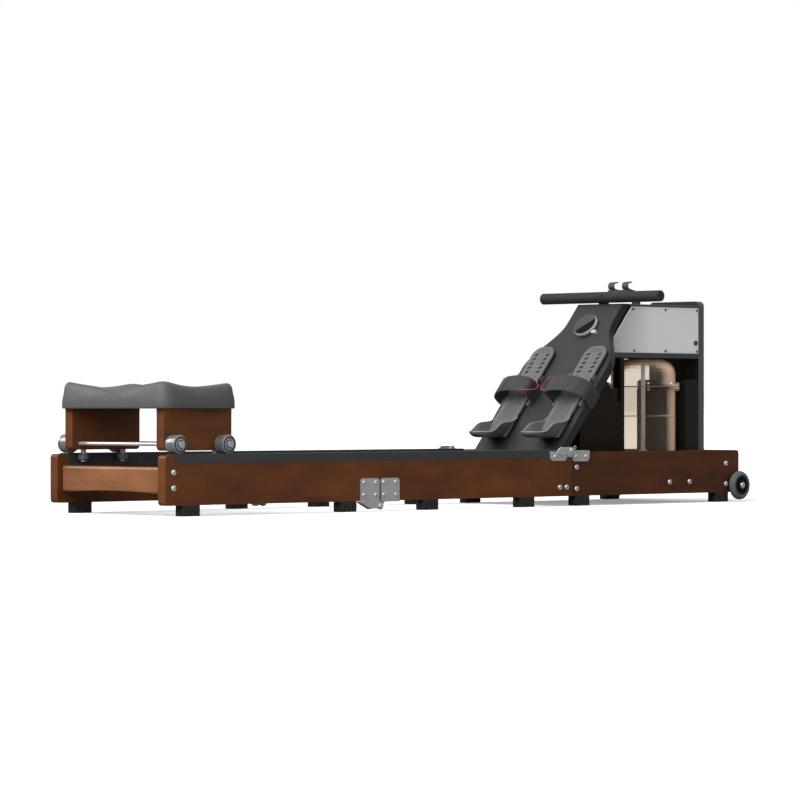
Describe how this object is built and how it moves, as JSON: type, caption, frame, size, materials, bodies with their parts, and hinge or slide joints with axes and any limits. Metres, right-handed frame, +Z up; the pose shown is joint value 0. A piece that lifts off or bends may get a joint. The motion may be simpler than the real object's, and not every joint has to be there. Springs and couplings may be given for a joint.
{
  "type": "folding rowing machine",
  "caption": "Folding wooden rowing machine: hinged rails, rolling padded seat, sloped footboard with heel cups and straps, clear water tank with paddle, and a strap-driven handle.",
  "frame": {"origin": "on the floor, under the centre of the machine's bounding box", "axes": "+X towards the water tank end, +Y towards the user's left, +Z up"},
  "size_m": [2.146, 0.496, 0.6151],
  "materials": {
    "wood": "satin oiled hardwood",
    "light_wood": "satin oiled hardwood",
    "black_wood": "matt black lacquer",
    "black_plastic": "matt",
    "track_plastic": "satin",
    "grey_plastic": "matt",
    "hinge_steel": "satin",
    "brushed_panel": "brushed",
    "bolt_steel": "polished",
    "axle_steel": "polished",
    "black_metal": "matt powder coat",
    "foot_rubber": "matt",
    "wheel_rubber": "satin",
    "roller_metal": "satin",
    "guide_rubber": "satin",
    "seat_leather": "soft",
    "strap_webbing": "woven",
    "red_cord": "woven",
    "tank_plastic": "clear",
    "gasket_rubber": "soft",
    "foam": "foam",
    "chrome": "polished",
    "screen": "gloss"
  },
  "bodies": {
    "front": {"front_rails": "wood", "front_beams": "wood", "base_board": "wood", "cheek_boards": "wood", "front_feet": "foot_rubber", "front_bolts": "bolt_steel", "front_hinge_leaves": "hinge_steel", "foot_board": "black_wood", "front_wall": "black_wood", "console_frame": "black_metal", "side_panels": "brushed_panel", "panel_fasteners": "black_metal", "top_cover": "black_metal", "device_holder": "black_plastic", "monitor_case": "chrome", "monitor_face": "screen", "foot_bases": "grey_plastic", "foot_strap_right": "strap_webbing", "foot_strap_left": "strap_webbing", "pull_loops": "red_cord", "tank_body": "tank_plastic", "tank_dome": "tank_plastic", "tank_gasket": "gasket_rubber", "tank_bolts": "bolt_steel", "fill_plug": "guide_rubber", "recoil_cord": "foam"},
    "middle": {"middle_rails": "wood", "middle_tracks": "track_plastic", "middle_board": "wood", "middle_feet": "foot_rubber", "middle_bolts": "bolt_steel", "middle_lower_leaves": "hinge_steel", "middle_upper_leaves": "hinge_steel"},
    "rear": {"rear_rails": "wood", "rear_tracks": "track_plastic", "rear_end_beam": "light_wood", "rear_feet": "foot_rubber", "rear_bolts": "bolt_steel", "rear_hinge_leaves": "hinge_steel"},
    "seat": {"seat_cushion": "seat_leather", "seat_frame": "wood", "seat_axles": "axle_steel"},
    "rear_rollers": {"rear_rollers": "roller_metal"},
    "front_rollers": {"front_rollers": "roller_metal"},
    "guide_rear_right": {"guide_rear_right": "guide_rubber"},
    "guide_rear_left": {"guide_rear_left": "guide_rubber"},
    "guide_front_right": {"guide_front_right": "guide_rubber"},
    "guide_front_left": {"guide_front_left": "guide_rubber"},
    "foot_slide_right": {"foot_slide_right": "grey_plastic"},
    "foot_slide_left": {"foot_slide_left": "grey_plastic"},
    "wheel_right": {"wheel_tyre_right": "wheel_rubber", "wheel_hub_right": "grey_plastic"},
    "wheel_left": {"wheel_tyre_left": "wheel_rubber", "wheel_hub_left": "grey_plastic"},
    "handle": {"handle_bar": "black_metal", "handle_grips": "foam", "handle_strap": "strap_webbing"},
    "strap_drum": {"strap_drum": "black_plastic"},
    "strap_roller": {"strap_roller": "bolt_steel"},
    "paddle": {"paddle": "grey_plastic"}
  },
  "joints": [
    {"name": "middle_fold", "type": "hinge", "parent": "front", "child": "middle", "pos_m": [0.348, 0, 0.149], "axis": [0, 1, 0], "range_deg": [0, 90]},
    {"name": "rear_fold", "type": "hinge", "parent": "middle", "child": "rear", "pos_m": [-0.358, 0, 0.0129], "axis": [0, -1, 0], "range_deg": [0, 180]},
    {"name": "seat_slide", "type": "slide", "parent": "rear", "child": "seat", "axis": [-1, 0, 0], "range_m": [-1, 0]},
    {"name": "rear_roller_spin", "type": "hinge", "parent": "seat", "child": "rear_rollers", "pos_m": [-1.027, 0, 0.1735], "axis": [0, 1, 0], "continuous": true},
    {"name": "front_roller_spin", "type": "hinge", "parent": "seat", "child": "front_rollers", "pos_m": [-0.869, 0, 0.1735], "axis": [0, 1, 0], "continuous": true},
    {"name": "guide_rear_right_spin", "type": "hinge", "parent": "seat", "child": "guide_rear_right", "pos_m": [-1.004, -0.1733, 0.1402], "axis": [0, 0, 1], "continuous": true},
    {"name": "guide_rear_left_spin", "type": "hinge", "parent": "seat", "child": "guide_rear_left", "pos_m": [-1.004, 0.1733, 0.1402], "axis": [0, 0, 1], "continuous": true},
    {"name": "guide_front_right_spin", "type": "hinge", "parent": "seat", "child": "guide_front_right", "pos_m": [-0.876, -0.1733, 0.1402], "axis": [0, 0, 1], "continuous": true},
    {"name": "guide_front_left_spin", "type": "hinge", "parent": "seat", "child": "guide_front_left", "pos_m": [-0.876, 0.1733, 0.1402], "axis": [0, 0, 1], "continuous": true},
    {"name": "foot_slide_right_adjust", "type": "slide", "parent": "front", "child": "foot_slide_right", "axis": [0.6428, 0, 0.766], "range_m": [-0.062, 0]},
    {"name": "foot_slide_left_adjust", "type": "slide", "parent": "front", "child": "foot_slide_left", "axis": [0.6428, 0, 0.766], "range_m": [-0.062, 0]},
    {"name": "wheel_right_spin", "type": "hinge", "parent": "front", "child": "wheel_right", "pos_m": [1.033, -0.233, 0.0455], "axis": [0, 1, 0], "continuous": true},
    {"name": "wheel_left_spin", "type": "hinge", "parent": "front", "child": "wheel_left", "pos_m": [1.033, 0.233, 0.0455], "axis": [0, 1, 0], "continuous": true},
    {"name": "handle_pull", "type": "slide", "parent": "front", "child": "handle", "axis": [1, 0, 0], "range_m": [-1, 0], "stiffness_N_per_m": 30, "springref_m": 0.5, "deforming": ["handle_strap"]},
    {"name": "drum_spin", "type": "hinge", "parent": "front", "child": "strap_drum", "pos_m": [0.89, 0, 0.489], "axis": [0, 0, 1], "continuous": true},
    {"name": "strap_roller_spin", "type": "hinge", "parent": "front", "child": "strap_roller", "pos_m": [0.73021, 0, 0.54413], "axis": [0, 1, 0], "continuous": true},
    {"name": "paddle_spin", "type": "hinge", "parent": "front", "child": "paddle", "pos_m": [0.89, 0, 0.147], "axis": [0, 0, 1], "continuous": true}
  ],
  "couplings": [
    {"joint": "rear_roller_spin", "follows": "seat_slide", "rad_per_m": -43.478},
    {"joint": "front_roller_spin", "follows": "seat_slide", "rad_per_m": -43.478},
    {"joint": "guide_rear_left_spin", "follows": "seat_slide", "rad_per_m": -71.429},
    {"joint": "guide_rear_right_spin", "follows": "seat_slide", "rad_per_m": 71.429},
    {"joint": "guide_front_left_spin", "follows": "seat_slide", "rad_per_m": -71.429},
    {"joint": "guide_front_right_spin", "follows": "seat_slide", "rad_per_m": 71.429},
    {"joint": "drum_spin", "follows": "handle_pull", "rad_per_m": -23.148},
    {"joint": "strap_roller_spin", "follows": "handle_pull", "rad_per_m": 144.93}
  ]
}
